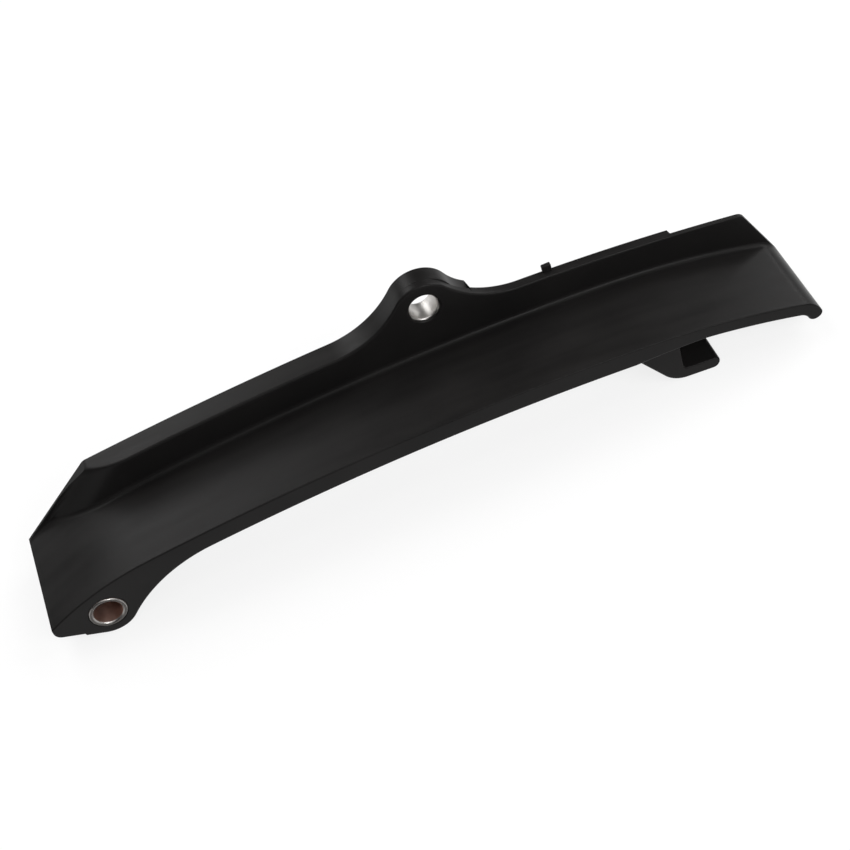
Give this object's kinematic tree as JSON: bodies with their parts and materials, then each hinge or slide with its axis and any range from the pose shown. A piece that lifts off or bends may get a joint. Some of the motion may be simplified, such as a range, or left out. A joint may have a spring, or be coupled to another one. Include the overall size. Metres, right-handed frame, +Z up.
{
  "type": "timing chain guide",
  "caption": "Arched black plastic guide rail for an engine's timing chain, with a side wall, a bolt ear, a hook underneath and steel sleeves in its bolt holes.",
  "frame": {"origin": "middle of the part's underside: the bottom centre of its bounding box", "axes": "+X along the rail from the lower bolt hole's end to the curled nose, +Y from the open side towards the side wall, +Z up, with the part standing on its lower boss and its hook"},
  "size_m": [0.224, 0.0354, 0.0471],
  "materials": {
    "black_plastic": "satin, as moulded",
    "sleeve_steel": "plain turned steel"
  },
  "bodies": {
    "root": {"guide_rail": "black_plastic", "lower_sleeve": "sleeve_steel", "upper_sleeve": "sleeve_steel"}
  },
  "joints": []
}
